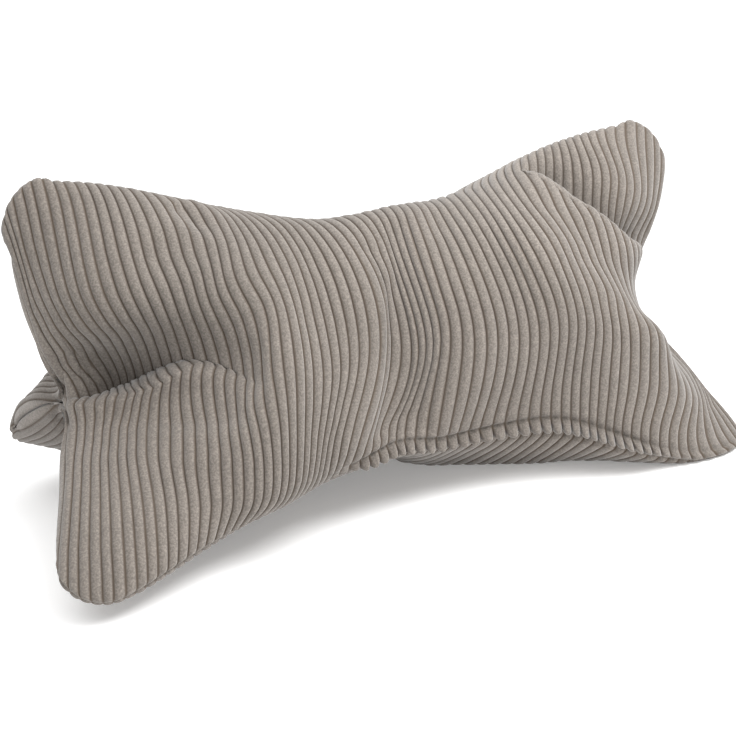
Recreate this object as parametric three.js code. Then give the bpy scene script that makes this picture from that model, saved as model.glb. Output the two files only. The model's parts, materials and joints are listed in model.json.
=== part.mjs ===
import * as THREE from 'three';

// Millimetres. X runs along the pillow, -Y is its front and Z is up.
// One filled pillow: three equal bone-shaped panels sewn edge to edge along three seams,
// rounded out by their filling and resting on the plane Z = 0.

// One panel laid flat, measured from its centre
const PANEL = {
  halfLength: 251, // to the end of a horn
  hornHalfWidth: 165, // to the outer side of a horn
  waistHalfWidth: 91, // to the seam at the narrow middle
  notchDistance: 244, // to the point between the two horns of an end
  tipRadius: 34, // rounding of a horn's tip
  tipJoin: 0.35, // how far before the tip's centre the side runs into it, in tip radii
};

// How finely a panel is divided
const GRID = {
  bodyColumns: 40, // between the two end notches
  hornColumns: 6, // from a notch to the end of its horns
  halfRows: 9, // from the mid line, or the notch side, to a seam
  crowding: 0.25, // how much closer the body's columns stand towards the notches
};

// The seams, by their direction about the long axis, counted from the rear towards the top
const SEAMS = [
  { name: 'top', degrees: 90 },
  { name: 'front', degrees: 210 },
  { name: 'rear', degrees: 330 },
];

// The panels, each between two seams
const PANELS = [
  { name: 'front', upper: 0, lower: 1 },
  { name: 'base', upper: 1, lower: 2 },
  { name: 'back', upper: 2, lower: 0 },
];

// Give of the cloth along its threads, across them and in bending: when drawn out, when pushed together
const CLOTH = {
  thread: { stretch: 0.0005, squeeze: 0.005 },
  bias: { stretch: 0.002, squeeze: 0.005 },
  bend: { stretch: 0.03, squeeze: 0.03 },
};

// Load on the cloth, in kilograms, millimetres and seconds
const LOAD = {
  filling: 0.3, // outward push of the settled filling
  firstFilling: 3, // times as much while the panels are first rounded out
  weight: 1.6e-6, // mass of a square millimetre of cloth with its filling
  inertia: 1e-4, // mass of a square millimetre that slows the motion
  gravity: 9810,
};

// Course of the settling
const SETTLE = {
  steps: 900,
  rampSteps: 100, // the filling's push grows over these
  restFrom: 250, // from here the pillow lies on the plane
  passes: 6,
  stepTime: 0.004,
  damping: 0.97,
  grip: 0.5, // share of sideways speed kept where the cloth touches the plane
  axisHeight: 75, // of the long axis at the start
  opening: 0.25, // radians by which a panel's mid line starts away from the seam's plane
  leastMass: 0.5, // of a point, as a share of the mean
};

// How a handled pillow gives way: how far in x, y and z it has been pressed or drawn at places
// counted along the flat panels from the waist, fading with distance over a reach
const SLUMP_REACH = 95;
const SEAM_PLACES = [-251, -130, 0, 130, 251]; // from the left horn to the right one
const SEAM_SLUMP = {
  top: [[15, 25, -20], [5, 0, 0], [10, -5, -5], [-10, 0, -10], [-10, -5, -30]],
  front: [[5, 0, -10], [0, 5, 10], [-5, -5, 25], [-15, 0, 5], [0, 20, -25]],
  rear: [[5, -10, 30], [-10, 0, -20], [-5, 5, -10], [0, -5, 0], [0, -10, 0]],
};
const MIDDLE_PLACES = [-150, 0, 150]; // on a panel's mid line
const MIDDLE_SLUMP = {
  front: [[-25, -10, -40], [0, 10, -10], [25, 0, -15]],
  base: [[-10, 15, 0], [-15, 15, -20], [0, 0, -15]],
  back: [[-20, 15, 10], [0, 0, -5], [10, -5, 0]],
};
const NOTCH_SLUMP = { left: [-15, 0, 0], right: [10, -10, 10] };

// The front panel's own soft hollows and bulges, at three heights on the flat panel
const HOLLOW_REACH = 60;
const HOLLOW_HEIGHTS = { low: -62, middle: 0, high: 62 };
const HOLLOWS = [
  { x: -175, low: [10, 15, -10], middle: [5, 0, 20], high: [-5, -10, -10] },
  { x: -115, low: [5, -10, -20], middle: [5, 5, 5], high: [15, 5, 0] },
  { x: -60, low: [0, -10, -10], middle: [-10, 5, 0], high: [5, -5, 10] },
  { x: -10, low: [-5, 0, 0], middle: [15, -10, -5], high: [-5, -15, 0] },
  { x: 45, low: [-10, 5, -15], middle: [10, -10, 5], high: [-10, 0, 5] },
  { x: 100, low: [10, 0, 0], middle: [-10, 5, 0], high: [-10, -20, 5] },
  { x: 150, low: [-20, 20, 25], middle: [20, -25, 10], high: [-10, 25, -10] },
  { x: 195, low: [10, -20, -25], middle: [-15, -45, -20], high: [5, -5, 20] },
  { x: 225, middle: [-5, 10, 5] },
  { x: 244, middle: [5, 10, 10] },
];

const CORD_CLOTH = { color: 0xa3988b, roughness: 0.95, metalness: 0 };

const AXES = 3;
const CORNERS = 3;
const TIP_CENTRE = {
  x: PANEL.halfLength - PANEL.tipRadius,
  y: PANEL.hornHalfWidth - PANEL.tipRadius,
};

// Half height of the tip's circle at a distance along the panel
function tipRise(x) {
  return Math.sqrt(Math.max(0, PANEL.tipRadius ** 2 - (x - TIP_CENTRE.x) ** 2));
}

// Distance of the seam from the panel's mid line
function seamDistance(x) {
  const along = Math.abs(x);
  const joinX = TIP_CENTRE.x - PANEL.tipJoin * PANEL.tipRadius;
  if (along >= joinX) return TIP_CENTRE.y + tipRise(along);
  const joinY = TIP_CENTRE.y + tipRise(joinX);
  const slope = (TIP_CENTRE.x - joinX) / tipRise(joinX);
  const t = along / joinX;
  const blend = t * t * (3 - 2 * t);
  return PANEL.waistHalfWidth * (1 - blend) + joinY * blend + slope * joinX * (t ** 3 - t ** 2);
}

// Distance of a horn's notch side from the panel's mid line
function notchSideDistance(x) {
  const along = Math.abs(x);
  if (along <= PANEL.notchDistance) return 0;
  const toCentre = Math.hypot(TIP_CENTRE.x - PANEL.notchDistance, TIP_CENTRE.y);
  const bearing = Math.atan2(TIP_CENTRE.y, TIP_CENTRE.x - PANEL.notchDistance);
  const angle = bearing - Math.asin(PANEL.tipRadius / toCentre);
  const tangent = Math.sqrt(toCentre ** 2 - PANEL.tipRadius ** 2);
  const touchX = PANEL.notchDistance + tangent * Math.cos(angle);
  if (along <= touchX) return (along - PANEL.notchDistance) * Math.tan(angle);
  return TIP_CENTRE.y - tipRise(along);
}

// Distances along the panel of the columns, closer together towards a horn's end
function columnPositions() {
  const horn = [];
  for (let i = 1; i <= GRID.hornColumns; i++) {
    const ease = Math.sin((i / GRID.hornColumns) * Math.PI / 2);
    horn.push(PANEL.notchDistance + (PANEL.halfLength - PANEL.notchDistance) * ease);
  }
  const body = [];
  for (let i = 0; i <= GRID.bodyColumns; i++) {
    const t = 2 * i / GRID.bodyColumns - 1;
    body.push(PANEL.notchDistance * t * (1 + GRID.crowding * (1 - t * t)));
  }
  return [...horn.slice().reverse().map((x) => -x), ...body, ...horn];
}

// Lays out the three panels as one net of points, links and faces, with sewn edges sharing points
function layOut() {
  const columns = columnPositions();
  const last = columns.length - 1;
  const leftNotch = GRID.hornColumns;
  const rightNotch = last - GRID.hornColumns;
  const index = new Map();
  const points = [];
  const spots = [];
  const links = new Map();
  const faces = [];

  const pointName = (panel, seam, column, t, row) => {
    if (column === 0 || column === last) return `tip ${seam} ${column}`;
    if (t === 1) return `seam ${seam} ${column}`;
    if (t > 0) return `cloth ${panel} ${seam} ${column} ${row}`;
    if (column === leftNotch || column === rightNotch) return `notch ${column}`;
    const onHorn = column < leftNotch || column > rightNotch;
    return onHorn ? `notch side ${seam} ${column}` : `mid line ${panel} ${column}`;
  };

  const addPoint = (name, x, y, angle) => {
    if (!index.has(name)) {
      index.set(name, points.length);
      points.push([x, y * Math.cos(angle), y * Math.sin(angle)]);
    }
    return index.get(name);
  };

  const addLink = (from, to, kind) => {
    if (from.id === to.id) return;
    const key = `${Math.min(from.id, to.id)} ${Math.max(from.id, to.id)} ${kind}`;
    if (links.has(key)) return;
    const length = Math.hypot(from.x - to.x, from.y - to.y);
    links.set(key, { a: from.id, b: to.id, length, kind });
  };

  const addFace = (...corners) => {
    const ids = corners.map((corner) => corner.id);
    if (new Set(ids).size < CORNERS) return;
    const [a, b, c] = corners;
    const area = Math.abs((b.x - a.x) * (c.y - a.y) - (c.x - a.x) * (b.y - a.y)) / 2;
    faces.push({ ids, area });
  };

  PANELS.forEach((panel, panelIndex) => {
    const halves = [
      { seam: panel.lower, side: -1 },
      { seam: panel.upper, side: 1 },
    ];
    const grid = columns.map((x, column) => {
      const outer = seamDistance(x);
      const inner = notchSideDistance(x);
      return halves.map(({ seam, side }) => {
        const strip = [];
        for (let row = 0; row <= GRID.halfRows; row++) {
          const t = side > 0 ? row / GRID.halfRows : 1 - row / GRID.halfRows;
          const y = inner + (outer - inner) * t;
          const angle = THREE.MathUtils.degToRad(SEAMS[seam].degrees) + side * SETTLE.opening * (1 - t);
          const id = addPoint(pointName(panelIndex, seam, column, t, row), x, y, angle);
          strip.push({ id, x, y: side * y });
          spots.push({ id, panel: panelIndex, x, y: side * y });
        }
        return strip;
      });
    });

    columns.forEach((x, column) => {
      halves.forEach((half, h) => {
        for (let row = 0; row < GRID.halfRows; row++) {
          const here = grid[column][h][row];
          const above = grid[column][h][row + 1];
          addLink(here, above, 'thread');
          if (row + 2 <= GRID.halfRows) addLink(here, grid[column][h][row + 2], 'bend');
          if (column === last) continue;
          const beside = grid[column + 1][h][row];
          const across = grid[column + 1][h][row + 1];
          addLink(here, beside, 'thread');
          addLink(above, across, 'thread');
          addLink(here, across, 'bias');
          addLink(above, beside, 'bias');
          if (column + 2 <= last) {
            addLink(here, grid[column + 2][h][row], 'bend');
            addLink(above, grid[column + 2][h][row + 1], 'bend');
          }
          if ((column + row) % 2) {
            addFace(here, beside, above);
            addFace(above, beside, across);
          } else {
            addFace(here, beside, across);
            addFace(here, across, above);
          }
        }
      });
      if (column >= leftNotch && column <= rightNotch) {
        addLink(grid[column][0][GRID.halfRows - 1], grid[column][1][1], 'bend');
      }
    });
  });

  return { points, spots, links: [...links.values()], faces };
}

// Adds the filling's push on every face to the forces on its corners
function pushOut(faces, at, force, push) {
  for (const { ids } of faces) {
    const [a, b, c] = ids.map((id) => AXES * id);
    const ux = at[b] - at[a];
    const uy = at[b + 1] - at[a + 1];
    const uz = at[b + 2] - at[a + 2];
    const vx = at[c] - at[a];
    const vy = at[c + 1] - at[a + 1];
    const vz = at[c + 2] - at[a + 2];
    const share = push / (2 * CORNERS);
    const fx = (uy * vz - uz * vy) * share;
    const fy = (uz * vx - ux * vz) * share;
    const fz = (ux * vy - uy * vx) * share;
    for (const corner of [a, b, c]) {
      force[corner] += fx;
      force[corner + 1] += fy;
      force[corner + 2] += fz;
    }
  }
}

// Draws every link towards its own length
function drawLinks(links, at, ease) {
  for (const { a, b, length, give } of links) {
    const i = AXES * a;
    const j = AXES * b;
    const dx = at[j] - at[i];
    const dy = at[j + 1] - at[i + 1];
    const dz = at[j + 2] - at[i + 2];
    const distance = Math.sqrt(dx * dx + dy * dy + dz * dz);
    const excess = distance - length;
    const pull = excess / (ease[a] + ease[b] + (excess < 0 ? give.squeeze : give.stretch)) / distance;
    at[i] += ease[a] * pull * dx;
    at[i + 1] += ease[a] * pull * dy;
    at[i + 2] += ease[a] * pull * dz;
    at[j] -= ease[b] * pull * dx;
    at[j + 1] -= ease[b] * pull * dy;
    at[j + 2] -= ease[b] * pull * dz;
  }
}

// Rounds the net out and lets it come to rest on the plane
function settle({ points, links, faces }) {
  const count = points.length;
  const time = SETTLE.stepTime;
  const at = new Float64Array(points.flatMap(([x, y, z]) => [x, y, z + SETTLE.axisHeight]));
  const next = new Float64Array(at.length);
  const speed = new Float64Array(at.length);
  const area = new Float64Array(count);
  for (const face of faces) {
    for (const id of face.ids) area[id] += face.area / CORNERS;
  }
  const meanArea = area.reduce((sum, value) => sum + value, 0) / count;
  const ease = area.map((value) => 1 / (Math.max(value, SETTLE.leastMass * meanArea) * LOAD.inertia));
  const springs = links.map(({ a, b, length, kind }) => {
    const { stretch, squeeze } = CLOTH[kind];
    return { a, b, length, give: { stretch: stretch / time ** 2, squeeze: squeeze / time ** 2 } };
  });

  for (let step = 0; step < SETTLE.steps; step++) {
    const resting = step > SETTLE.restFrom;
    const early = step < SETTLE.restFrom ? LOAD.firstFilling : 1;
    const force = new Float64Array(at.length);
    pushOut(faces, at, force, LOAD.filling * early * Math.min(1, step / SETTLE.rampSteps));
    for (let id = 0; id < count; id++) {
      if (resting) force[AXES * id + 2] -= LOAD.gravity * LOAD.weight * area[id];
      for (let i = AXES * id; i < AXES * (id + 1); i++) {
        speed[i] = (speed[i] + time * force[i] * ease[id]) * SETTLE.damping;
        next[i] = at[i] + time * speed[i];
      }
    }
    for (let pass = 0; pass < SETTLE.passes; pass++) {
      drawLinks(springs, next, ease);
      if (!resting) continue;
      for (let i = 2; i < next.length; i += AXES) next[i] = Math.max(next[i], 0);
    }
    for (let id = 0; id < count; id++) {
      const touching = resting && next[AXES * id + 2] === 0;
      for (let i = AXES * id; i < AXES * (id + 1); i++) {
        speed[i] = (next[i] - at[i]) / time;
        at[i] = next[i];
      }
      if (!touching) continue;
      speed[AXES * id] *= SETTLE.grip;
      speed[AXES * id + 1] *= SETTLE.grip;
    }
  }
  return at;
}

// Every place that gives way, on its flat panel, with how far and over what reach
function listPresses() {
  const seams = SEAMS.flatMap(({ name }, seam) => {
    const panel = PANELS.findIndex(({ upper }) => upper === seam);
    return SEAM_PLACES.map((x, i) => ({ panel, x, y: seamDistance(x), by: SEAM_SLUMP[name][i] }));
  });
  const middles = PANELS.flatMap(({ name }, panel) =>
    MIDDLE_PLACES.map((x, i) => ({ panel, x, y: 0, by: MIDDLE_SLUMP[name][i] })));
  const notches = [
    { panel: 0, x: -PANEL.notchDistance, y: 0, by: NOTCH_SLUMP.left },
    { panel: 0, x: PANEL.notchDistance, y: 0, by: NOTCH_SLUMP.right },
  ];
  const hollows = HOLLOWS.flatMap((row) =>
    Object.entries(HOLLOW_HEIGHTS)
      .filter(([height]) => height in row)
      .map(([height, y]) => ({ panel: 0, x: row.x, y, by: row[height], reach: HOLLOW_REACH })));
  return [...seams, ...middles, ...notches, ...hollows];
}

// Moves each point by the presses near it, then sets the pillow down and centres it
function press(at, spots) {
  const box = new THREE.Box3().setFromArray(at);
  const middle = box.getCenter(new THREE.Vector3()).setZ(0);
  const pointOf = (id) => new THREE.Vector3().fromArray(at, AXES * id).sub(middle);
  const presses = listPresses().map(({ panel, x, y, by, reach = SLUMP_REACH }) => {
    const distance = (spot) => (spot.panel === panel ? Math.hypot(spot.x - x, spot.y - y) : Infinity);
    const nearest = spots.reduce((best, spot) => (distance(spot) < distance(best) ? spot : best));
    return { centre: pointOf(nearest.id), by: new THREE.Vector3(...by), reach };
  });
  const shaped = [];
  for (let id = 0; id < at.length / AXES; id++) {
    const settled = pointOf(id);
    const point = settled.clone();
    for (const { centre, by, reach } of presses) {
      point.addScaledVector(by, Math.exp(-((settled.distanceTo(centre) / reach) ** 2)));
    }
    shaped.push(point.setZ(Math.max(point.z, 0)));
  }
  const centre = new THREE.Box3().setFromPoints(shaped).getCenter(new THREE.Vector3()).setZ(0);
  return shaped.map((point) => point.sub(centre));
}

function buildPillow() {
  const net = layOut();
  const points = press(settle(net), net.spots);
  const geometry = new THREE.BufferGeometry().setFromPoints(points);
  geometry.setIndex(net.faces.flatMap((face) => face.ids));
  geometry.computeVertexNormals();
  const mesh = new THREE.Mesh(geometry, new THREE.MeshStandardMaterial(CORD_CLOTH));
  mesh.name = 'pillow';
  return mesh;
}

const part = new THREE.Group();
part.name = 'reading_pillow';
part.add(buildPillow());

export default part;
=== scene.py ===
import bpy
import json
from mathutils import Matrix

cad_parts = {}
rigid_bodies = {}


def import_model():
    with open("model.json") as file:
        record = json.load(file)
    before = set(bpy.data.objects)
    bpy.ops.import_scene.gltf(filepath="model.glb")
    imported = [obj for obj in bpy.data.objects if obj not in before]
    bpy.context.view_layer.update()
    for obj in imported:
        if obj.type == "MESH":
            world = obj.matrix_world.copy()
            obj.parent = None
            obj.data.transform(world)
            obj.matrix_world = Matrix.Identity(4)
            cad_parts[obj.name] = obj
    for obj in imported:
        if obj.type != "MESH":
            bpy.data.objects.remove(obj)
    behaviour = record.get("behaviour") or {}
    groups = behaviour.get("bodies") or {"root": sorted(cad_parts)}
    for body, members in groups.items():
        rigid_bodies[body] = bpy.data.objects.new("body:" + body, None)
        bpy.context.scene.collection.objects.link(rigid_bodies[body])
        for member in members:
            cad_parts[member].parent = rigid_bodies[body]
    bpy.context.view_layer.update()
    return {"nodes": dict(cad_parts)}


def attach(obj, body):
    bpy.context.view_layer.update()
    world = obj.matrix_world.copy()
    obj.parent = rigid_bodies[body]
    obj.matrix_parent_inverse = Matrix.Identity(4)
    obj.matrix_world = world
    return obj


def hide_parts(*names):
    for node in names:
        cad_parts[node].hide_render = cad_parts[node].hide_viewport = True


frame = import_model()

import json
import math
import bmesh
import bpy
import numpy as np
from mathutils import Matrix, Vector

print("frame loaded")

# the cutting pattern, in millimetres on the flat cloth
pattern = {
    "halfLength": 251.0,      # to the end of a horn
    "hornHalfWidth": 165.0,   # to the outer side of a horn
    "waistHalfWidth": 91.0,   # to the seam at the narrow middle
    "notchDistance": 244.0,   # to the point between the two horns of an end
    "tipRadius": 34.0,
    "tipJoin": 0.35,          # where the long side meets the tip's arc, in tip radii before its middle
    "bodyColumns": 40,
    "hornColumns": 6,
    "halfRows": 9,
    "crowding": 0.25,         # how much closer the columns lie towards the notches
}
tipX = pattern["halfLength"] - pattern["tipRadius"]
tipY = pattern["hornHalfWidth"] - pattern["tipRadius"]
hornEnd = pattern["halfLength"] - 0.1  # just inside a horn's end, where its two edges still lie apart

# each panel runs from its lower seam to its upper one; seams: 0 top, 1 front, 2 rear
panelSeams = {"front": (1, 0), "base": (2, 1), "back": (0, 2)}


def smooth(t):
    return t * t * (3 - 2 * t)


# a curve from b to c that also heads along a and d
def throughPoints(a, b, c, d, t):
    return 0.5 * (2 * b + (c - a) * t + (2 * a - 5 * b + 4 * c - d) * t ** 2
                  + (3 * b - a - 3 * c + d) * t ** 3)


# height of a tip's arc over its centre
def tipRise(x):
    return np.sqrt(np.maximum(0.0, pattern["tipRadius"] ** 2 - (x - tipX) ** 2))


# distance of the seam from the panel's mid line
def seamDistance(x):
    along = np.abs(x)
    joinX = tipX - pattern["tipJoin"] * pattern["tipRadius"]
    joinY = tipY + tipRise(joinX)
    slope = (tipX - joinX) / tipRise(joinX)
    t = np.minimum(along / joinX, 1.0)
    blend = smooth(t)
    side = pattern["waistHalfWidth"] * (1 - blend) + joinY * blend + slope * joinX * (t ** 3 - t ** 2)
    return np.where(along >= joinX, tipY + tipRise(along), side)


# distance of a horn's notch side from the panel's mid line
def notchSideDistance(x):
    along = np.abs(x)
    reach = tipX - pattern["notchDistance"]
    toCentre = math.hypot(reach, tipY)
    angle = math.atan2(tipY, reach) - math.asin(pattern["tipRadius"] / toCentre)
    straight = math.sqrt(toCentre ** 2 - pattern["tipRadius"] ** 2)
    touchX = pattern["notchDistance"] + straight * math.cos(angle)
    line = (along - pattern["notchDistance"]) * math.tan(angle)
    side = np.where(along <= touchX, line, tipY - tipRise(along))
    return np.where(along <= pattern["notchDistance"], 0.0, side)


# places of the net's columns along the panel
def columnPositions():
    count = pattern["hornColumns"]
    far = pattern["halfLength"] - pattern["notchDistance"]
    horn = [pattern["notchDistance"] + far * math.sin(i / count * math.pi / 2) for i in range(1, count + 1)]
    body = []
    for i in range(pattern["bodyColumns"] + 1):
        t = 2 * i / pattern["bodyColumns"] - 1
        body.append(pattern["notchDistance"] * t * (1 + pattern["crowding"] * (1 - t * t)))
    return np.array([-x for x in reversed(horn)] + body + horn)


columns = columnPositions()
lastColumn = len(columns) - 1
leftNotch = pattern["hornColumns"]
rightNotch = lastColumn - pattern["hornColumns"]


# the sewn net of the three panels: its faces, and the id of each panel, half, column and row
def sewnNet():
    ids, faces = {}, []
    rows = pattern["halfRows"]
    grid = np.zeros((3, 2, lastColumn + 1, rows + 1), int)

    def idOf(panel, seam, column, row):
        if column in (0, lastColumn):
            name = ("tip", seam, column)
        elif row == rows:
            name = ("seam", seam, column)
        elif row > 0:
            name = ("cloth", panel, seam, column, row)
        elif column in (leftNotch, rightNotch):
            name = ("notch", column)
        elif column < leftNotch or column > rightNotch:
            name = ("side", seam, column)
        else:
            name = ("middle", panel, column)
        return ids.setdefault(name, len(ids))

    for panel, seams in enumerate(panelSeams.values()):
        for half in (0, 1):
            for column in range(lastColumn + 1):
                for row in range(rows + 1):
                    grid[panel, half, column, row] = idOf(panel, seams[half], column, row)
            for column in range(lastColumn):
                for step in range(rows):
                    # steps run along the panel's own width, so the lower half counts back from its seam
                    low, high = (step, step + 1) if half else (rows - step, rows - step - 1)
                    here, above = grid[panel, half, column, low], grid[panel, half, column, high]
                    beside, across = grid[panel, half, column + 1, low], grid[panel, half, column + 1, high]
                    if (column + step) % 2:
                        pair = [(here, beside, above), (above, beside, across)]
                    else:
                        pair = [(here, beside, across), (here, across, above)]
                    faces += [face for face in pair if len(set(face)) == 3]
    return grid, faces


# the third corner of the face on the left of each directed edge
def edgeMap(faces):
    beyond = {}
    for a, b, c in faces:
        beyond[a, b], beyond[b, c], beyond[c, a] = c, a, b
    return beyond


# finds each point of the net on the frame's own body, by walking both from one edge
def walkTogether(netBeyond, bodyBeyond, netDegree, bodyDegree, start):
    (netA, netB), (bodyA, bodyB) = start
    match = {netA: bodyA, netB: bodyB}
    waiting, seen = [start, ((netB, netA), (bodyB, bodyA))], set()
    while waiting:
        netEdge, bodyEdge = waiting.pop()
        if netEdge in seen:
            continue
        seen.add(netEdge)
        netC, bodyC = netBeyond.get(netEdge), bodyBeyond.get(bodyEdge)
        if netC is None or bodyC is None or netDegree[netC] != bodyDegree[bodyC]:
            return None
        if match.setdefault(netC, bodyC) != bodyC:
            return None
        waiting.append(((netC, netEdge[1]), (bodyC, bodyEdge[1])))
        waiting.append(((netEdge[0], netC), (bodyEdge[0], bodyC)))
    return match


# the frame's body, in metres, with points of the same place made one
def readBody(node):
    mesh = node.data
    corners = np.zeros(len(mesh.vertices) * 3)
    mesh.vertices.foreach_get("co", corners)
    _, first, same = np.unique(np.round(corners.reshape(-1, 3) * 1e6).astype(int), axis=0,
                               return_index=True, return_inverse=True)
    same = same.reshape(-1)
    faces = [tuple(int(same[v]) for v in polygon.vertices) for polygon in mesh.polygons]
    return corners.reshape(-1, 3)[first], faces


# the body's points by panel, half, column and row; of all fits, the one with the top seam highest
def fitNetToBody():
    grid, netFaces = sewnNet()
    points, bodyFaces = readBody(frame["nodes"]["pillow"])
    netBeyond, bodyBeyond = edgeMap(netFaces), edgeMap(bodyFaces)
    netDegree, bodyDegree = np.bincount(np.ravel(netFaces)), np.bincount(np.ravel(bodyFaces))
    notch = int(grid[0, 0, leftNotch, 0])
    beside = int(grid[0, 0, leftNotch + 1, 0])
    best = None
    for bodyA, bodyB in bodyBeyond:
        if points[bodyA, 0] > 0 or bodyDegree[bodyA] != netDegree[notch]:
            continue
        start = ((notch, beside), (bodyA, bodyB))
        match = walkTogether(netBeyond, bodyBeyond, netDegree, bodyDegree, start)
        if match is None or len(match) != len(netDegree):
            continue
        order = np.array([match[i] for i in range(len(netDegree))])
        placed = points[order[grid]]
        height = placed[0, 1, :, -1, 2].mean()
        if best is None or height > best[0]:
            best = (height, placed)
    return best[1]


# places where the body's cloth is smoothed out, in flat millimetres of each panel
besideNotches = [{"at": (x, 0), "reach": (28, 30), "by": 0.8} for x in (-232, 232)]
relaxed = {
    "front": [
        {"at": (165, -22), "reach": (62, 44), "by": 1.4},
        {"at": (-195, 40), "reach": (52, 26), "by": 1.2},
        {"at": (-232, 0), "reach": (28, 30), "by": 0.8},
        {"at": (232, 0), "reach": (24, 30), "by": 0.6},
    ],
    "base": besideNotches,
    "back": besideNotches,
}
relaxing = {"times": 8, "share": 0.7}


# a smooth hill of a given height around a place of the flat cloth
def hill(place, x, y):
    (atX, atY), (reachX, reachY) = place["at"], place["reach"]
    return place["by"] * np.exp(-((x - atX) / reachX) ** 2 - ((y - atY) / reachY) ** 2)


# smooths the net's points at these places; seams and horns stay as they are
def relaxBody(placed):
    rows = pattern["halfRows"]
    x = np.repeat(columns[:, None], 2 * rows + 1, axis=1)
    y = seamDistance(x) * np.linspace(-1, 1, 2 * rows + 1)[None, :]
    inside = np.s_[leftNotch + 1:rightNotch, 1:-1]
    for panel, name in enumerate(panelSeams):
        weight = sum(hill(place, x, y) for place in relaxed[name]).clip(0, 1)[..., None]
        for _ in range(relaxing["times"]):
            sheet = np.concatenate([placed[panel, 0][:, ::-1], placed[panel, 1][:, 1:]], axis=1)
            core = sheet[1:-1, 1:-1]
            around = (sheet[:-2, 1:-1] + sheet[2:, 1:-1] + sheet[1:-1, :-2] + sheet[1:-1, 2:]) / 4
            moved = core + weight[1:-1, 1:-1] * relaxing["share"] * (around - core)
            sheet[inside] = moved[leftNotch:rightNotch - 1]
            placed[panel, 0][leftNotch + 1:rightNotch] = sheet[leftNotch + 1:rightNotch, rows::-1]
            placed[panel, 1][leftNotch + 1:rightNotch] = sheet[leftNotch + 1:rightNotch, rows:]
    return placed


# in millimetres, by panel, half, column, and row from mid line to seam
placed = relaxBody(fitNetToBody() * 1000.0)
print("panels found on the body:", placed.shape)

# the corduroy's wales and seams, in millimetres
cloth = {
    "pitch": 6.8,          # from one wale to the next
    "unevenness": 0.3,     # how far a groove may stray from its place
    "waleHeight": 2.05,
    "waleFlatness": 2.2,   # a higher number gives flatter ridges and narrower grooves
    "waleVariety": 0.08,   # share by which one wale is higher or lower than another
    "lastWale": 0.55,      # height of the wale at a horn's edge, as a share
    "crushing": 0.16,      # share by which the pile's height wanders
    "crushWaves": (0.031, 0.043, 0.037, 0.012),   # how quickly it does, for each millimetre
    "seamDrop": 2.6,       # how far the cloth turns in at a seam
    "seamWidth": 5.5,
    "seamFlat": 0.45,      # part of a wale's height left at a seam
    "seamTurn": 0.5,       # over this distance a wale ends in the seam itself
    "seamStart": 0.1,      # and it ends this far from the seam
    "seamCalm": 16.0,      # over this distance from a seam the swells die away
}

# where the points of the cloth lie: columns across a wale, as shares of it, and rows along it
layout = {
    "phases": [0.0, 0.045, 0.10, 0.17, 0.30, 0.5, 0.70, 0.83, 0.90, 0.955],
    "besideSeam": [0, 0.6, 1.3, 2.1, 3.0, 4.0, 5.0, 6.0, 7.0, 8.0, 9.3, 11.0],
    "rowStep": {"front": 2.1, "base": 3.4, "back": 3.4},
    "countedAt": 200.0,    # the rows are counted at this distance along the panel
    "fullRoom": 40.0,      # where a horn is narrower than this, the rows beside the seam close up
    "paceSteps": 160,
    "rounds": 3,
    "levelsPerRow": 12,    # levels of each curve between two rows of the net
    "cornerRows": 1.5,     # the cloth bends sharply at a notch, and less so over these rows
}
waleCount = int(pattern["halfLength"] // cloth["pitch"]) + 1
waleRandom = np.random.default_rng(7)
grooves = (np.arange(-waleCount, waleCount + 2) - 0.5) * cloth["pitch"]
grooves = grooves + waleRandom.uniform(-1, 1, len(grooves)) * cloth["unevenness"]
waleGrowth = waleRandom.uniform(-1, 1, len(grooves))


# a smooth curve across one half panel at each column, from its mid line to its seam
def crossCurves(panel, half, rowsAt):
    own, other = placed[panel, half], placed[panel, 1 - half]
    before = 2 * own[:, 0] - own[:, 1]
    before[leftNotch + 1:rightNotch] = other[leftNotch + 1:rightNotch, 1]
    rows = np.concatenate([before[:, None], own, (2 * own[:, -1] - own[:, -2])[:, None]], axis=1)
    cell = np.clip(np.floor(rowsAt).astype(int), 0, pattern["halfRows"] - 1)
    t = (rowsAt - cell)[None, :, None]
    a, b, c, d = (rows[:, cell + k] for k in range(4))
    return throughPoints(a, b, c, d, t)


# one half panel as a smooth surface over flat x and row number, which is 0 at the mid line
class HalfPanel:
    def __init__(self, panel, half):
        self.levels = np.linspace(0, pattern["halfRows"], layout["levelsPerRow"] * pattern["halfRows"] + 1)
        curves = crossCurves(panel, half, self.levels)
        gap = np.diff(columns)
        slope = np.diff(curves, axis=0) / gap[:, None, None]
        ease = smooth(np.clip(self.levels / layout["cornerRows"], 0, 1))[:, None]
        wide = gap[:, None, None]
        middle = (wide[:-1] * slope[1:] + wide[1:] * slope[:-1]) / (wide[1:] + wide[:-1])
        self.after = np.concatenate([slope[:1], middle, slope[-1:]])   # tangent on the right of each column
        self.before = self.after.copy()                                # and on its left
        for column in (leftNotch, rightNotch):
            self.after[column] = self.after[column] * ease + slope[column] * (1 - ease)
            self.before[column] = self.before[column] * ease + slope[column - 1] * (1 - ease)
        self.curves, self.gap = curves, gap

    def at(self, x, row):
        x = np.clip(x, columns[0], columns[-1])
        cell = np.clip(np.searchsorted(columns, x, side="right") - 1, 0, lastColumn - 1)
        level = np.clip(row, 0, pattern["halfRows"]) * layout["levelsPerRow"]
        low = np.clip(np.floor(level).astype(int), 0, len(self.levels) - 2)
        blend = (level - low)[..., None]

        def pick(table, column):
            return table[column, low] * (1 - blend) + table[column, low + 1] * blend

        width = self.gap[cell][..., None]
        t = (x - columns[cell])[..., None] / width
        start, end = pick(self.curves, cell), pick(self.curves, cell + 1)
        leave, arrive = pick(self.after, cell) * width, pick(self.before, cell + 1) * width
        return (start * (1 + 2 * t) * (1 - t) ** 2 + leave * t * (1 - t) ** 2
                + end * t * t * (3 - 2 * t) + arrive * t * t * (t - 1))


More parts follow.
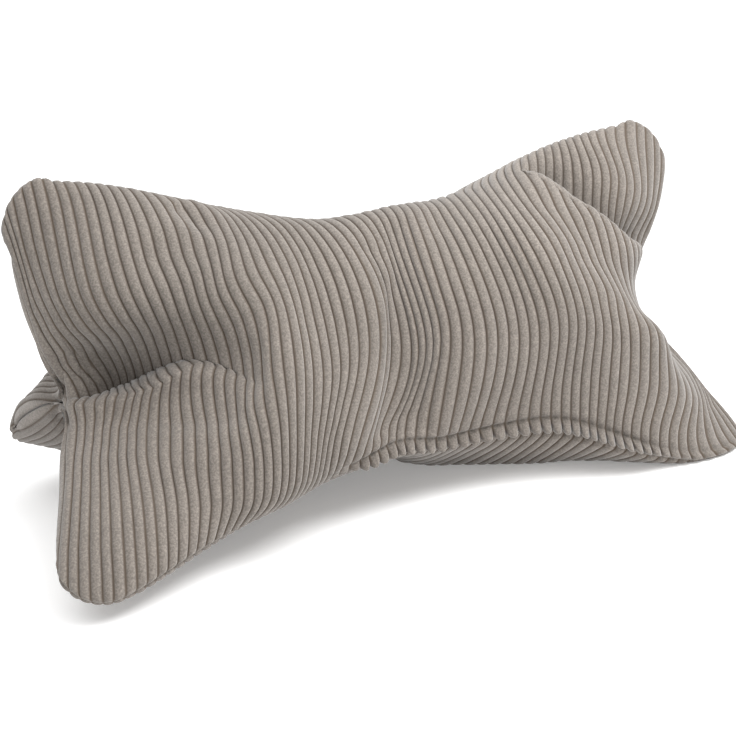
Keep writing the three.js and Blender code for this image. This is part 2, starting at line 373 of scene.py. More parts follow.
# row number of a flat place
def rowOf(x, y):
    outer, inner = seamDistance(x), notchSideDistance(x)
    return pattern["halfRows"] * (y - inner) / np.maximum(outer - inner, 1e-6)


halves = {(panel, half): HalfPanel(panel, half) for panel in range(3) for half in range(2)}


# outward normals of a grid of points, whose first index runs along x and whose second runs up the panel
def gridNormals(points):
    alongX, alongY = np.gradient(points, axis=0), np.gradient(points, axis=1)
    normals = np.cross(alongX, alongY)
    length = np.linalg.norm(normals, axis=2, keepdims=True)
    return normals / np.maximum(length, 1e-12)


# places along the seams at which the direction straight out of the pillow is kept
hornPlaces = np.linspace(pattern["notchDistance"] + 0.2, hornEnd, 24)
bodyPlaces = np.linspace(-pattern["notchDistance"], pattern["notchDistance"], 321)
seamTable = np.concatenate([-hornPlaces[::-1], bodyPlaces, hornPlaces])
seamProbe = {"rows": 0.35, "along": 0.3}


# outward normals of a half panel beside its edge
def edgeNormals(panel, half, x, row):
    step, beside = seamProbe["rows"], seamProbe["along"]
    sign = 1 if half else -1
    inside = np.where(row > pattern["halfRows"] / 2, row - step, row + step)
    edge, inner = halves[panel, half].at(x, row), halves[panel, half].at(x, inside)
    along = halves[panel, half].at(x + beside, row) - halves[panel, half].at(x - beside, row)
    up = (edge - inner) * np.where(row > pattern["halfRows"] / 2, 1, -1)[:, None] * sign
    normals = np.cross(along, up)
    return normals / np.maximum(np.linalg.norm(normals, axis=1, keepdims=True), 1e-12)


# direction out of the pillow between the two panels of each seam
def seamDirections(row):
    found = {}
    for seam in range(3):
        total = 0
        for panel, seams in enumerate(panelSeams.values()):
            if seam in seams:
                half = seams.index(seam)
                total = total + edgeNormals(panel, half, seamTable, np.full(len(seamTable), float(row)))
        found[seam] = total / np.linalg.norm(total, axis=1, keepdims=True)
    return found


seamOut = {"seam": seamDirections(pattern["halfRows"]), "side": seamDirections(0)}


def lookUp(table, x):
    return np.stack([np.interp(x, seamTable, table[:, k]) for k in range(3)], axis=-1)


# a crease, ridge or dent runs along its points, in flat millimetres of its panel, and fades over the shares
# "ends" of its length; the cloth on its left sinks over "left" millimetres, that on its right over "right";
# a lip stands up beside it, at "lipAt" to the left, or to the right if negative; the cloth on its right may
# lie "over" the crease; "drawn" says how far the wales are drawn along the panel and over what width, on the
# left and on the right; a last width, where given, is that of the painted shade darkening the crease's left
# side
folds = {
    "front": [
        {"line": [(-246, 4), (-226, 2), (-204, 3), (-188, 7), (-172, 14), (-158, 17), (-142, 13), (-122, 3),
                  (-100, -8)],
         "ends": (0.26, 0.8), "depth": -19, "left": 46, "right": 3, "lip": 2.5, "lipAt": -7, "lipWidth": 8,
         "over": 7, "drawn": ((-2, 50), (13, 32)), "paintedShadeWidth": 64},
        {"line": [(121, 118), (132, 104), (144, 87), (158, 71), (177, 58), (192, 52), (216, 48), (246, 36)],
         "ends": (0.2, 0.3), "depth": -16, "left": 30, "right": 2.5, "lip": 3.5, "lipAt": -9,
         "lipWidth": 11, "over": 8, "drawn": ((-8, 50), (4, 30)), "paintedShadeWidth": 24},
        {"line": [(2, 95), (-8, 61), (-26, 35), (-33, 4), (-35, -28), (-30, -72)],
         "ends": (0.3, 0.3), "depth": 4, "left": 8, "right": 16},
        {"line": [(48, 90), (41, 57), (37, 23)],
         "ends": (0.4, 0.5), "depth": -4, "left": 10, "right": 12, "lip": 2, "lipAt": 22, "lipWidth": 9},
        {"line": [(-128, 124), (-123, 109), (-119, 88)],
         "ends": (0.2, 0.5), "depth": -4, "left": 9, "right": 7, "lip": 1.5, "lipAt": 16, "lipWidth": 8},
    ],
    "base": [],
    "back": [],
}
folding = {
    "overFrom": 18.0,      # how far from the crease the cloth that lies over it starts to slide
    "turn": 2.2,           # width over which it turns back under itself
    "turnAt": -0.5,
    "leastLean": 0.6,      # keeps the slide short where a crease runs along the wales
    "drawnEdge": 3.0,      # width over which the drawing changes from the left to the right
    "shadeEdge": 2.0,
    "fineRows": 2.2,       # how much closer the rows lie beside a crease
    "fineOver": 11.0,
}

# broad swells and hollows, and places where the wales are drawn along the panel, by millimetres
swells = {
    "front": [
        {"at": (-200, 34), "reach": (50, 40), "by": -5},
        {"at": (-205, 90), "reach": (46, 34), "by": 6},
        {"at": (8, 5), "reach": (28, 70), "by": 20},
        {"at": (35, 5), "reach": (26, 60), "by": 7},
        {"at": (148, 8), "reach": (24, 20), "by": 3},
        {"at": (182, -28), "reach": (26, 30), "by": 11},
        {"at": (72, 20), "reach": (16, 40), "by": -3},
    ],
    "base": [],
    "back": [],
}
drawn = {
    "front": [
        {"at": (-232, 125), "reach": (40, 40), "by": -8},
        {"at": (195, -145), "reach": (50, 40), "by": -13},
        {"at": (-40, -40), "reach": (30, 42), "by": -8},
        {"at": (-238, 0), "reach": (30, 70), "by": 6},
        {"at": (35, -100), "reach": (60, 30), "by": -6},
        {"at": (-110, 125), "reach": (30, 30), "by": 8},
        {"at": (60, 115), "reach": (70, 30), "by": -8},
        {"at": (165, 12), "reach": (32, 30), "by": 10},
        {"at": (207, 22), "reach": (26, 26), "by": 24},
        {"at": (238, -45), "reach": (45, 45), "by": 20},
        {"at": (245, 130), "reach": (60, 40), "by": -8},
        {"at": (190, 150), "reach": (40, 30), "by": -6},
        {"at": (80, 15), "reach": (42, 42), "by": -6},
        {"at": (-190, 65), "reach": (45, 28), "by": 4},
        {"at": (-110, 60), "reach": (28, 22), "by": -6},
        {"at": (-66, -10), "reach": (26, 30), "by": 6},
        {"at": (-244, 2), "reach": (14, 22), "by": 8},
        {"at": (-228, 32), "reach": (24, 24), "by": -8},
        {"at": (-150, -32), "reach": (34, 24), "by": 4},
        {"at": (200, 78), "reach": (36, 32), "by": -9},
        {"at": (225, -62), "reach": (26, 34), "by": 22},
        {"at": (182, 24), "reach": (16, 18), "by": 8},
        {"at": (150, -122), "reach": (34, 20), "by": -4},
    ],
    "base": [],
    "back": [],
}


# a smooth line through a fold's points
def smoothLine(points):
    marks = np.array(points, float)
    marks = np.concatenate([[2 * marks[0] - marks[1]], marks, [2 * marks[-1] - marks[-2]]])
    t = np.linspace(0, 1, 5)[:-1, None]
    pieces = []
    for a, b, c, d in zip(marks[:-3], marks[1:-2], marks[2:-1], marks[3:]):
        pieces.append(throughPoints(a, b, c, d, t))
    return np.concatenate(pieces + [marks[-2:-1]])


# each place's distance from a fold's line, positive on the left, the fold's fading towards its ends, and
# how much of the way across the line runs along the wales
def besideFold(fold, x, y):
    line = smoothLine(fold["line"])
    steps = np.diff(line, axis=0)
    lengths = np.linalg.norm(steps, axis=1)
    best, signed, share = np.full(x.shape, np.inf), np.zeros(x.shape), np.zeros(x.shape)
    whole, run = lengths.sum(), 0.0
    for (ax, ay), (stepX, stepY), length in zip(line[:-1], steps, lengths):
        t = np.clip(((x - ax) * stepX + (y - ay) * stepY) / length ** 2, 0, 1)
        dx, dy = x - ax - t * stepX, y - ay - t * stepY
        distance = np.hypot(dx, dy)
        closer = distance < best
        side = np.where(stepX * dy - stepY * dx > 0, 1.0, -1.0)
        best = np.where(closer, distance, best)
        signed = np.where(closer, side * distance, signed)
        share = np.where(closer, (run + t * length) / whole, share)
        run += length
    fade = np.clip(share / fold["ends"][0], 0, 1) * np.clip((1 - share) / fold["ends"][1], 0, 1)
    middles = (np.cumsum(lengths) - lengths / 2) / whole
    leftY = np.interp(share, middles, steps[:, 0] / lengths)
    return signed, smooth(fade), leftY


# how far the folds raise or sink the cloth
def foldOffset(name, x, y):
    total = np.zeros_like(x)
    for fold in folds[name]:
        signed, fade, _ = besideFold(fold, x, y)
        width = np.where(signed > 0, fold["left"], fold["right"])
        total += fold["depth"] * fade * np.exp(-(signed / width) ** 2)
        if "lip" in fold:
            total += fold["lip"] * fade * np.exp(-((signed - fold["lipAt"]) / fold["lipWidth"]) ** 2)
    return total


# where the cloth lies over a crease, its place on the body slides across the crease's line, along the wales
def foldSlide(name, x, y):
    slide = np.zeros_like(x)
    for fold in folds[name]:
        if "over" in fold:
            signed, fade, leftY = besideFold(fold, x, y)
            reach = np.clip(1 + signed / folding["overFrom"], 0, 1) ** 2
            back = 1 / (1 + np.exp(np.clip(4 * (signed - folding["turnAt"]) / folding["turn"], -30, 30)))
            slide += fold["over"] * fade * reach * back / np.maximum(leftY, folding["leastLean"])
    return slide


# how far the wales are drawn along the panel
def waleShift(name, x, y):
    total = np.zeros_like(x)
    for place in drawn[name]:
        total += hill(place, x, y)
    for fold in folds[name]:
        if "drawn" in fold:
            signed, fade, _ = besideFold(fold, x, y)
            (leftBy, leftOver), (rightBy, rightOver) = fold["drawn"]
            left = leftBy * np.clip(1 - signed / leftOver, 0, 1) ** 2
            right = rightBy * np.clip(1 + signed / rightOver, 0, 1) ** 2
            share = np.clip(signed / folding["drawnEdge"] + 1, 0, 1)
            total += fade * (left * share + right * (1 - share))
    return total


# beside a notch, wales that are drawn outwards crowd in the last millimetres and none is drawn inwards
atNotch = {"crowd": 8.0, "calm": 36.0}


# the flat place of each wale's points, kept in order where wales crowd at a notch
def drawnPlace(name, u, y):
    shift, limit, crowd = waleShift(name, u, y), pattern["notchDistance"], atNotch["crowd"]
    outward = np.maximum(shift * np.sign(u), 0)
    inward = np.minimum(shift * np.sign(u), 0) * np.clip((limit - np.abs(u)) / atNotch["calm"], 0, 1)
    atEnd = np.maximum(waleShift(name, np.sign(u) * limit, y) * np.sign(u), 0)
    place = np.abs(u) + outward + inward
    squeezed = limit - crowd + crowd * (place - limit + crowd) / (crowd + atEnd)
    place = np.where(place > limit - crowd, np.minimum(squeezed, limit), place)
    return np.where(np.abs(u) < limit, np.sign(u) * place, u)


# from here outwards the wales turn to run along a horn's notch side
alongEdge = {"from": 186.0, "columnStep": 0.42}

# where the underside lies on the floor
resting = {"height": 0.2, "softness": 0.8}

# the closing seam, whipped by hand, gathers the end of each wale into a round knob
closing = {
    "along": [-58, -36, -22, 150, 172, 225, 240],   # flat distance along the front seam
    "strength": [0, 0.3, 1, 1, 0.35, 0.35, 0],
    "knobRise": 9.0,
    "knobMiddle": 5.0,     # distance from the seam
    "knobRadius": 5.0,
    "neckAt": 11.4,        # above the knob each wale is pinched, at this distance from the seam
    "neckWidth": 1.9,
    "neckDip": 1.25,       # part of the wale's height that the pinch takes
    # painted shade in the pinch above each knob, darkest over a wale's middle
    "neckShade": 0.8,
}

# the front panel reaches over the top of the pillow, so that the top seam lies behind its crest
overTop = {
    "along": [-225, -175, 30, 75, 165, 222],
    "by": [0, 18, 18, 30, 26, 0],
    "evened": 12.0,        # half the length over which the reach is evened out
    "ending": 20.0,
    "crestRadius": 8.0,
}


def reachOver(x):
    steps = np.linspace(-overTop["evened"], overTop["evened"], 5)
    by = sum(np.interp(x + step, overTop["along"], overTop["by"]) for step in steps) / len(steps)
    return by * np.clip((overTop["along"][-1] - np.abs(x)) / overTop["ending"], 0, 1)


# where the front panel's flat places beyond its cut edge lie on the back panel, with the wales running
# straight on
def beyondSeam(x, y):
    edge, slope = seamDistance(x), seamDistance(x + 0.5) - seamDistance(x - 0.5)
    past = (y - edge) / (1 + slope ** 2)
    return x + 2 * slope * past, edge - (1 - slope ** 2) * past


reachX = np.linspace(-pattern["notchDistance"], pattern["notchDistance"], 600)
backEdge = beyondSeam(reachX, seamDistance(reachX) + reachOver(reachX))


# how far a panel's seam lies beyond its cut edge
def seamMove(name, half, x):
    if (name, half) == ("front", 1):
        return reachOver(x)
    if (name, half) == ("back", 0):
        return np.where(np.abs(x) < reachX[-1], np.interp(x, *backEdge) - seamDistance(x), 0)
    return np.zeros_like(x)


# flat places of the columns of points: ten to each wale, and even, close ones in the horns
def clothColumns():
    numbers = (np.arange(-waleCount, waleCount + 1)[:, None] + np.array(layout["phases"])[None, :]).ravel()
    marks = np.interp(numbers, np.arange(-waleCount, waleCount + 2), grooves)
    marks = marks[np.abs(marks) < alongEdge["from"]]
    ends = [pattern["notchDistance"], pattern["halfLength"]]
    horn = np.arange(alongEdge["from"], hornEnd, alongEdge["columnStep"])
    horn = np.concatenate([horn[np.abs(horn - ends[0]) > alongEdge["columnStep"] / 2], ends])
    return np.sort(np.concatenate([-horn, marks, horn]))


# place of a horn's notch side along the panel, at a distance from the mid line
def edgePlace(y):
    alongs = np.linspace(pattern["notchDistance"], hornEnd, 40)
    return np.interp(y, notchSideDistance(alongs), alongs)


# the wale number of each flat place; near a horn's notch side the wales run along it
def waleNumber(u, y):
    near = np.clip((np.abs(u) - alongEdge["from"]) / (pattern["notchDistance"] - alongEdge["from"]), 0, 1)
    place = np.abs(u) + (hornEnd - edgePlace(y)) * smooth(near)
    place = np.minimum(place, pattern["halfLength"]) * np.sign(u)
    number = np.interp(place, grooves, np.arange(-waleCount, waleCount + 2))
    # half a wale is left at the edge, and its other half is the next panel's
    for last, sign in ((waleCount, 1), (1 - waleCount, -1)):
        groove = grooves[last + waleCount]
        half = 0.5 * (place - groove) / (pattern["halfLength"] - abs(groove))
        number = np.where((place - groove) * sign > 0, last + half, number)
    return number


# points of a panel on the body; y may cross the mid line, and at the top reach past the seam onto the back
def clothAt(name, panel, x, y):
    rows, seam = pattern["halfRows"], seamDistance(x)
    found = np.zeros(x.shape + (3,))
    for half, own in ((0, y < 0), (1, y >= 0)):
        found[own] = halves[panel, half].at(x[own], rowOf(x[own], np.abs(y[own])))
    past = y > seam
    if name == "front" and past.any():
        backX, backY = beyondSeam(x[past], y[past])
        found[past] = halves[2, 0].at(backX, np.clip(rowOf(backX, backY), 0, rows))
    return found


normalSteps = (0.7, 24.0)  # folds stand on the near surface, and broad swells on the evened-out one


# the body's outward normals at the same places
def bodyNormals(name, panel, x, y, step):
    alongX = clothAt(name, panel, x + step, y) - clothAt(name, panel, x - step, y)
    alongY = clothAt(name, panel, x, y + step) - clothAt(name, panel, x, y - step)
    normals = np.cross(alongX, alongY)
    return normals / np.maximum(np.linalg.norm(normals, axis=-1, keepdims=True), 1e-12)


# how far the fold along the cut edge is rounded off, where a panel reaches over it
def crestDrop(name, panel, half, x, y):
    radius = overTop["crestRadius"]
    move = np.minimum(np.abs(seamMove(name, half, x)) / radius, 1)
    if not move.any():
        return np.zeros_like(x)
    own, rows = halves[panel, half], np.full(x.shape, float(pattern["halfRows"]))
    fall = own.at(x, rows) - own.at(x, rows - 0.5)
    outward = (fall * lookUp(seamOut["seam"][0], x)).sum(axis=-1)
    steep = np.abs(outward) / np.maximum(np.linalg.norm(fall, axis=-1), 1e-9)
    away = np.abs(y - seamDistance(x))
    return move * steep * (np.sqrt(away ** 2 + radius ** 2) - away) * np.exp(-(away / (3 * radius)) ** 2)


# height of the wales at their numbers, and the distance from a wale's middle, from 0 to 1 in its groove
def waleRidge(number, height, near):
    whole = np.floor(number).astype(int) + waleCount
    across = np.abs(2 * (number % 1.0) - 1)
    ridge = np.sqrt(np.maximum(0, 1 - across ** cloth["waleFlatness"]))
    height = height * np.where(np.abs(number - 0.5) > waleCount - 0.5, cloth["lastWale"], 1.0)
    height = height * (cloth["seamFlat"] + (1 - cloth["seamFlat"]) * near)
    return height * ridge * (1 + cloth["waleVariety"] * waleGrowth[whole]), across


# painted shade: how far the cloth is darkened in a deep crease and on its left, where shade falls
def paintedCreaseShade(name, x, y):
    total = np.zeros_like(x)
    for fold in folds[name]:
        if "paintedShadeWidth" in fold:
            signed, fade, _ = besideFold(fold, x, y)
            inside = np.clip(1 + signed / folding["shadeEdge"], 0, 1)
            total += fade * np.exp(-(np.maximum(signed, 0) / fold["paintedShadeWidth"]) ** 2) * inside
    return total


# rows lie closer together beside the deep creases
def rowDensity(name, x, y):
    density = np.ones_like(x)
    for fold in folds[name]:
        if "over" in fold:
            signed, fade, _ = besideFold(fold, x, y)
            density += folding["fineRows"] * fade * np.exp(-(signed / folding["fineOver"]) ** 2)
    return density


# flat places of one half panel's points: u counts the wales, and x is where the drawn wales lie; also the
# distances of its outer and inner edges from the mid line
def flatPlaces(name, half, marks):
    sign, turned = 1 if half else -1, np.array(layout["besideSeam"])
    room = seamDistance(np.array(layout["countedAt"])) - turned[-1]
    rest = int(round(room / layout["rowStep"][name]))
    fine = np.linspace(0, 1, layout["paceSteps"] + 1)
    u = np.repeat(marks[:, None], rest + len(turned), axis=1)
    x = u
    for _ in range(layout["rounds"]):
        outer, inner = seamDistance(x) + seamMove(name, half, x), notchSideDistance(x)
        room = outer - inner
        close = turned[None, ::-1] * np.minimum(1, room[:, -1:] / layout["fullRoom"])
        fineY = inner[:, :1] + (room[:, :1] - close[:, :1]) * fine[None, :]
        density = rowDensity(name, np.repeat(x[:, :1], len(fine), axis=1), fineY * sign)
        pace = np.cumsum(density[:, 1:] + density[:, :-1], axis=1)
        pace = np.concatenate([np.zeros((len(marks), 1)), pace], axis=1)
        even = np.stack([np.interp(np.arange(rest) / rest, row / row[-1], fine) for row in pace])
        within = inner[:, :rest] + (room[:, :rest] - close[:, :1]) * even
        y = np.concatenate([within, outer[:, rest:] - close], axis=1)
        x = drawnPlace(name, u, y * sign)
    return u, x, y, outer, inner


# one half panel's points on the body, with their folds and swells, before the wales
def formedStrip(name, panel, half, marks):
    sign = 1 if half else -1
    u, x, y, outer, inner = flatPlaces(name, half, marks)
    # the horns' own halves meet only at their edge, so a slide stops short of it there
    onY = y * sign + foldSlide(name, x, y * sign)
    atHorn = np.abs(x) > pattern["notchDistance"]
    onY = np.where(atHorn, sign * np.clip(onY * sign, inner, None), onY)
    points = clothAt(name, panel, x, onY)
    narrow, broad = (bodyNormals(name, panel, x, onY, step) for step in normalSteps)
    points = points + narrow * foldOffset(name, x, y * sign)[..., None]
    swell = sum((hill(place, x, y * sign) for place in swells[name]), np.zeros_like(x))
    swell = swell * smooth(np.clip((outer - y) / cloth["seamCalm"], 0, 1))
    points = points + broad * swell[..., None]
    points = points - lookUp(seamOut["seam"][0], x) * crestDrop(name, panel, half, x, y)[..., None]
    order = slice(None) if half else slice(None, None, -1)
    normals = gridNormals(points[:, order])[:, order]
    return {"number": waleNumber(u, y), "x": x, "y": y, "points": points, "normals": normals}


# the closing seam's knobs and the pinch above them, on the wales' height, with painted shade in the pinch
def gatherWales(x, toSeam, across, height, shade):
    strength = np.interp(x, closing["along"], closing["strength"])
    dome = np.sqrt(np.maximum(0, 1 - ((toSeam - closing["knobMiddle"]) / closing["knobRadius"]) ** 2))
    knob = closing["knobRise"] * dome * np.sqrt(np.maximum(0, 1 - across ** cloth["waleFlatness"]))
    height = height * (1 - strength * np.clip(1 - toSeam / closing["neckAt"], 0, 1))
    neck = strength * np.exp(-((toSeam - closing["neckAt"]) / closing["neckWidth"]) ** 2)
    height = np.maximum(height * (1 - closing["neckDip"] * neck), knob * strength)
    return height, np.maximum(shade, closing["neckShade"] * neck * (1 - across ** 2))


# the underside rests on the floor instead of reaching through it
def restOnFloor(height):
    soft, start = resting["softness"], resting["height"] + resting["softness"]
    pressed = resting["height"] + soft * np.exp((np.minimum(height, start) - start) / soft)
    return np.maximum(height, pressed)


# puts the wales on a strip and turns its edges in at the seams
def addWales(name, half, strip):
    seam, sign, x, y = panelSeams[name][half], 1 if half else -1, strip["x"], strip["y"]
    move = seamMove(name, half, x)
    toSeam = seamDistance(x) + move - y
    toSide = np.where(np.abs(x) > pattern["notchDistance"], y - notchSideDistance(x), 1e3)
    toEdge = np.minimum(toSeam, toSide)
    # the pile's height wanders slowly over the cloth
    a, b, c, d = cloth["crushWaves"]
    wander = np.sin(x * a + 2 * np.sin(y * b)) * np.sin(sign * y * c + x * d + 1)
    height, across = waleRidge(strip["number"], cloth["waleHeight"] * (1 + cloth["crushing"] * wander),
                               np.clip(toEdge / cloth["seamWidth"], 0, 1))
    # painted shade in and beside the deep creases
    shade = paintedCreaseShade(name, x, sign * y)
    if (name, half) == ("front", 0):
        height, shade = gatherWales(x, toSeam, across, height, shade)
    height = height * np.clip((toEdge - cloth["seamStart"]) / cloth["seamTurn"], 0, 1)
    out = strip["points"] + strip["normals"] * height[..., None]
    moved = np.clip(np.abs(move) / overTop["crestRadius"], 0, 1)[..., None]
    for kind, gap in (("seam", toSeam), ("side", toSide)):
        drop = cloth["seamDrop"] * np.clip(1 - gap / cloth["seamWidth"], 0, 1) ** 2
        inward = lookUp(seamOut[kind][seam], x) * (1 - moved) + strip["normals"] * moved
        out = out - inward * drop[..., None]
    out[..., 2] = restOnFloor(out[..., 2])
    strip["out"], strip["shade"] = out, shade


def makePanel(name, panel):
    marks = clothColumns()
    strips = [formedStrip(name, panel, half, marks) for half in (0, 1)]
    # the two halves share their normals along the mid line
    body = np.abs(marks) <= pattern["notchDistance"]
    shared = strips[0]["normals"][body, 0] + strips[1]["normals"][body, 0]
    shared /= np.linalg.norm(shared, axis=1, keepdims=True)
    for half, strip in enumerate(strips):
        strip["normals"][body, 0] = shared
        addWales(name, half, strip)
    return strips


mergeDistance = 2e-6  # metres


# a panel's mesh from its two strips, with the wales' numbers and the painted shade as its maps
def panelObject(name, strips):
    bm = bmesh.new()
    made = []
    for strip in strips:
        across, up = strip["out"].shape[:2]
        grid = bmesh.ops.create_grid(bm, x_segments=across - 1, y_segments=up - 1, size=1.0, calc_uvs=False)
        made.append((across, up, len(grid["verts"])))
    mesh = bpy.data.meshes.new(name)
    bm.to_mesh(mesh)
    bm.free()
    corners = np.zeros(len(mesh.vertices) * 3)
    mesh.vertices.foreach_get("co", corners)
    corners = corners.reshape(-1, 3)
    uv = np.zeros((len(mesh.vertices), 2))
    shade = np.zeros((len(mesh.vertices), 2))
    start = 0
    for half, (strip, (across, up, count)) in enumerate(zip(strips, made)):
        flat = corners[start:start + count]
        i = np.rint((flat[:, 0] + 1) / 2 * (across - 1)).astype(int)
        j = np.rint((flat[:, 1] + 1) / 2 * (up - 1)).astype(int)
        if half == 0:
            j = up - 1 - j  # the lower half runs from its seam up to the mid line
        sign = 1 if half else -1
        corners[start:start + count] = strip["out"][i, j] / 1000
        uv[start:start + count, 0] = strip["number"][i, j]
        uv[start:start + count, 1] = sign * strip["y"][i, j] / 1000
        shade[start:start + count, 0] = strip["shade"][i, j]
        start += count
    mesh.vertices.foreach_set("co", corners.ravel())
    loops = np.zeros(len(mesh.loops), int)
    mesh.loops.foreach_get("vertex_index", loops)
    for layerName, values in (("cloth", uv), ("shade", shade)):
        mesh.uv_layers.new(name=layerName).data.foreach_set("uv", values[loops].ravel())
    bm = bmesh.new()
    bm.from_mesh(mesh)
    bmesh.ops.remove_doubles(bm, verts=bm.verts, dist=mergeDistance)
    for face in bm.faces:
        face.smooth = True
    bm.to_mesh(mesh)
    bm.free()
    piece = bpy.data.objects.new(name, mesh)
    bpy.context.collection.objects.link(piece)
    return piece


# one socket of a material; sums and products with it add Math nodes
class Shade:
    def __init__(self, tree, socket=None):
        self.tree, self.socket = tree, socket

    # makes any node from its type, its settings and the values or links of its sockets
    def node(self, kind, settings=None, values=None, out=0):
        made = self.tree.nodes.new(kind)
        for name, value in (settings or {}).items():
            setattr(made, name, value)
        for name, value in (values or {}).items():
            if isinstance(value, Shade):
                self.tree.links.new(value.socket, made.inputs[name])
            else:
                made.inputs[name].default_value = value
        return Shade(self.tree, made.outputs[out])

    def maths(self, operation, first, second=0.0):
        return self.node("ShaderNodeMath", {"operation": operation}, {0: first, 1: second})

    def __add__(self, other):
        return self.maths("ADD", self, other)

    def __radd__(self, other):
        return self.maths("ADD", other, self)

    def __sub__(self, other):
        return self.maths("SUBTRACT", self, other)

    def __rsub__(self, other):
        return self.maths("SUBTRACT", other, self)

    def __mul__(self, other):
        return self.maths("MULTIPLY", self, other)

    def __rmul__(self, other):
        return self.maths("MULTIPLY", other, self)

    def __mod__(self, other):
        return self.maths("FLOORED_MODULO", self, other)

    def __rmod__(self, other):
        return self.maths("FLOORED_MODULO", other, self)

    def __abs__(self):
        return self.maths("ABSOLUTE", self)

    def between(self, low, high):
        return self.node("ShaderNodeMapRange", {"interpolation_type": "SMOOTHSTEP"},
                         {"Value": self, "From Min": low, "From Max": high})

    def mix(self, factor, first, second, blend="MIX"):
        return self.node("ShaderNodeMix", {"data_type": "RGBA", "blend_type": blend},
                         {0: factor, 6: first, 7: second}, 2)

    def noise(self, vector, scale, detail=2.0, roughness=0.5):
        return self.node("ShaderNodeTexNoise", {"noise_dimensions": "3D"},
                         {"Vector": vector, "Scale": scale, "Detail": detail, "Roughness": roughness})


def grey(value):
    return (value, value, value, 1)


corduroy = {
    "ridge": (0.202, 0.178, 0.157, 1),
    "shade": (0.142, 0.125, 0.109, 1),
    # the groove colour is painted shade, darkening each groove between the wales
    "groove": (0.095, 0.073, 0.055, 1),
    "grooveSide": (0.60, 0.96),    # where the groove's colour starts and is full, from a wale's middle
    # painted light and shade: a wale's left side darker and its right side lighter, as the light from the
    # right falls
    "flankLightAndShade": (0.82, 1.18),         # tone of a wale's left and right side
    "flankRange": (0.05, 0.95),
    "speck": (0.76, 1.25),         # tone of the pile's darkest and lightest specks
    "speckRange": (0.35, 0.7),
    # tone of the painted shade in the deep creases and in the pinches above the knobs
    "paintedShade": 0.60,                # tone in the deep creases
    "pile": (850.0, 3.0, 0.6),     # noises: scale, where more is finer, then detail and roughness
    "tuft": (260.0, 2.0),
    "patch": (16.0, 3.0),
    "tuftMix": 0.7,
    "patchMix": 0.9,
    "shadeMix": 0.35,              # how much of the shade colour there is on the whole
    "pileBump": 0.6,
    "tuftBump": 0.8,
    "bumpStrength": 0.55,
    "bumpDistance": 0.0006,
    "roughness": 0.95,
    "shine": 0.15,
    "sheen": 0.35,
    "sheenRoughness": 0.5,
}


def corduroyMaterial():
    look = corduroy
    material = bpy.data.materials.new("corduroy")
    material.use_nodes = True
    tree = material.node_tree
    surface = tree.nodes["Principled BSDF"]
    make = Shade(tree)
    place = make.node("ShaderNodeTexCoord", out=3)
    flat = make.node("ShaderNodeUVMap", {"uv_map": "cloth"})
    wale = make.node("ShaderNodeSeparateXYZ", values={0: flat})
    side = abs((wale % 1.0) * 2.0 - 1.0)
    groove = side.between(*look["grooveSide"])
    pile, tuft, patch = (make.noise(place, *look[name]) for name in ("pile", "tuft", "patch"))
    shadeShare = (patch - 0.5) * look["patchMix"] + (tuft - 0.5) * look["tuftMix"] + look["shadeMix"]
    tone = make.mix(shadeShare, look["ridge"], look["shade"])
    speck = make.mix(pile.between(*look["speckRange"]), grey(look["speck"][0]), grey(look["speck"][1]))
    tone = make.mix(1.0, tone, speck, "MULTIPLY")
    # painted light on each wale's right side and painted shade on its left side
    flankLightAndShade = make.mix((wale % 1.0).between(*look["flankRange"]), *(grey(tone) for tone in look["flankLightAndShade"]))
    tone = make.mix(1.0, tone, flankLightAndShade, "MULTIPLY")
    # painted shade: each groove takes the darker groove colour
    tone = make.mix(groove, tone, look["groove"])
    # painted shade from the mesh's shade map, in the deep creases and in the pinches above the knobs
    depth = make.node("ShaderNodeUVMap", {"uv_map": "shade"})
    paintedShade = make.node("ShaderNodeSeparateXYZ", values={0: depth})
    tone = make.mix(1.0, tone, make.mix(paintedShade, grey(1), grey(look["paintedShade"])), "MULTIPLY")
    bump = make.node("ShaderNodeBump", values={
        "Strength": look["bumpStrength"], "Distance": look["bumpDistance"],
        "Height": pile * look["pileBump"] + tuft * look["tuftBump"]})
    tree.links.new(tone.socket, surface.inputs["Base Color"])
    tree.links.new(bump.socket, surface.inputs["Normal"])
    surface.inputs["Roughness"].default_value = look["roughness"]
    surface.inputs["Specular IOR Level"].default_value = look["shine"]
    surface.inputs["Sheen Weight"].default_value = look["sheen"]
    surface.inputs["Sheen Roughness"].default_value = look["sheenRoughness"]
    return material


clothMaterial = corduroyMaterial()
for index, name in enumerate(panelSeams):
    piece = panelObject(name + "_panel", makePanel(name, index))
    piece.data.materials.append(clothMaterial)
    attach(piece, "root")
    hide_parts("pillow")
    print("made", piece.name, len(piece.data.polygons), "faces")

studio = {
    "floorTone": 0.92,
    "floorGlow": 0.22,
    "floorRadius": 40.0,
    "floorSides": 96,
    "rimSteps": 8,           # the floor's far edge curves up all around
    "rimGrowth": 1.02,
    "rimWidth": 0.17,        # as a share of the radius
    "rimHeight": 4.0,
    "ambient": 0.6,
    "overhead": 1.9,
    "overheadSoftness": 90.0,
    "lampPower": 4.2,
    "lampAt": (0.16, -0.34, 0.62),
    "lampSize": 0.4,
}


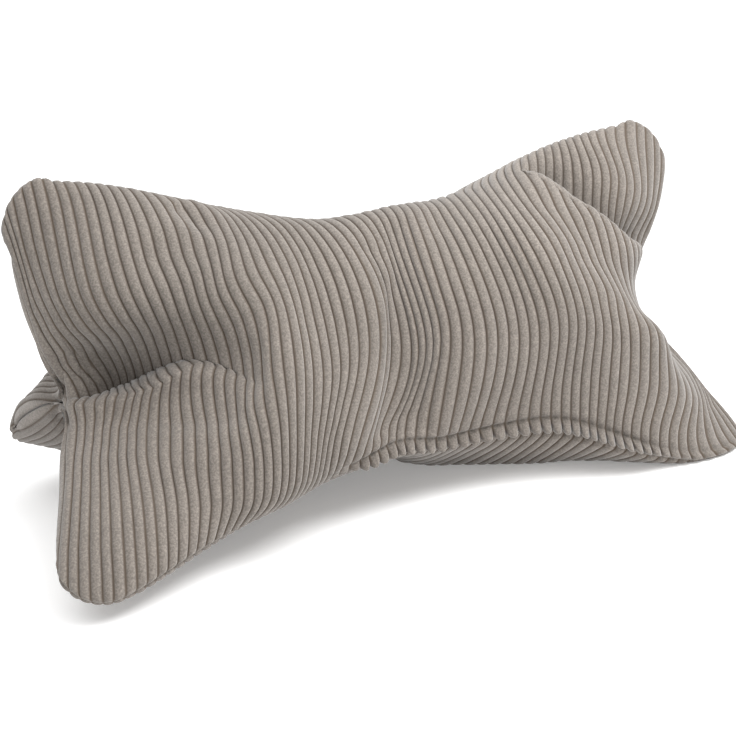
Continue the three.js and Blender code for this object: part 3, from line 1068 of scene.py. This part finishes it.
def makeFloor():
    bm = bmesh.new()
    bmesh.ops.create_circle(bm, cap_ends=True, segments=studio["floorSides"], radius=studio["floorRadius"])
    for _ in range(studio["rimSteps"]):
        rim = [edge for edge in bm.edges if edge.is_boundary]
        raised = bmesh.ops.extrude_edge_only(bm, edges=rim)["geom"]
        verts = [part for part in raised if isinstance(part, bmesh.types.BMVert)]
        bmesh.ops.scale(bm, vec=(studio["rimGrowth"], studio["rimGrowth"], 1), verts=verts)
        lift = (verts[0].co.xy.length / studio["floorRadius"] - 1) / studio["rimWidth"]
        bmesh.ops.translate(bm, vec=(0, 0, studio["rimHeight"] * lift ** 2 - verts[0].co.z), verts=verts)
    for face in bm.faces:
        face.smooth = True
    mesh = bpy.data.meshes.new("floor")
    bm.to_mesh(mesh)
    bm.free()
    floor = bpy.data.objects.new("floor", mesh)
    bpy.context.collection.objects.link(floor)
    material = bpy.data.materials.new("paleFloor")
    material.use_nodes = True
    surface = material.node_tree.nodes["Principled BSDF"]
    surface.inputs["Base Color"].default_value = grey(studio["floorTone"])
    surface.inputs["Roughness"].default_value = 1.0
    surface.inputs["Specular IOR Level"].default_value = 0.0
    surface.inputs["Emission Color"].default_value = grey(1)
    surface.inputs["Emission Strength"].default_value = studio["floorGlow"]
    mesh.materials.append(material)


# the photograph's point of view; azimuth turns the gaze from straight ahead towards the right
view = {
    "azimuth": math.radians(21.29),
    "elevation": math.radians(16.65),
    "roll": math.radians(4.71),
    "distance": 0.8488,
    "target": (0, 0, 0.1),
    "sensor": 36,
    "lens": 58.29,
    "shift": (-0.0091, -0.0415),
    "clip": (0.02, 200),
}


def makeLight():
    world = bpy.data.worlds.new("studio")
    world.use_nodes = True
    sky = world.node_tree.nodes["Background"]
    sky.inputs["Color"].default_value = grey(1)
    sky.inputs["Strength"].default_value = studio["ambient"]
    bpy.context.scene.world = world
    above = bpy.data.lights.new("overhead", "SUN")
    above.energy, above.angle = studio["overhead"], math.radians(studio["overheadSoftness"])
    near = bpy.data.lights.new("lamp", "AREA")
    near.energy, near.size = studio["lampPower"], studio["lampSize"]
    for lamp, place in ((above, (0, 0, 1)), (near, studio["lampAt"])):
        light = bpy.data.objects.new(lamp.name, lamp)
        light.location = place
        towards = Vector(place) - Vector(view["target"])
        light.rotation_euler = towards.to_track_quat("Z", "Y").to_euler()
        bpy.context.collection.objects.link(light)


def makeCamera():
    azimuth, elevation, roll = view["azimuth"], view["elevation"], view["roll"]
    ahead = Vector((math.sin(azimuth) * math.cos(elevation), math.cos(azimuth) * math.cos(elevation),
                    -math.sin(elevation)))
    right = Vector((math.cos(azimuth), -math.sin(azimuth), 0))
    up = right.cross(ahead)
    turnedX = right * math.cos(roll) - up * math.sin(roll)
    turnedY = right * math.sin(roll) + up * math.cos(roll)
    turn = Matrix((turnedX, turnedY, -ahead)).transposed()
    lens = bpy.data.cameras.new("camera")
    lens.sensor_width = view["sensor"]
    lens.lens = view["lens"]
    lens.shift_x, lens.shift_y = view["shift"]
    lens.clip_start, lens.clip_end = view["clip"]
    camera = bpy.data.objects.new("camera", lens)
    stand = Vector(view["target"]) - ahead * view["distance"]
    camera.matrix_world = Matrix.Translation(stand) @ turn.to_4x4()
    bpy.context.collection.objects.link(camera)
    bpy.context.scene.camera = camera


makeFloor()
makeLight()
makeCamera()
bpy.context.scene.view_settings.view_transform = "Standard"
print("floor, light and camera placed")
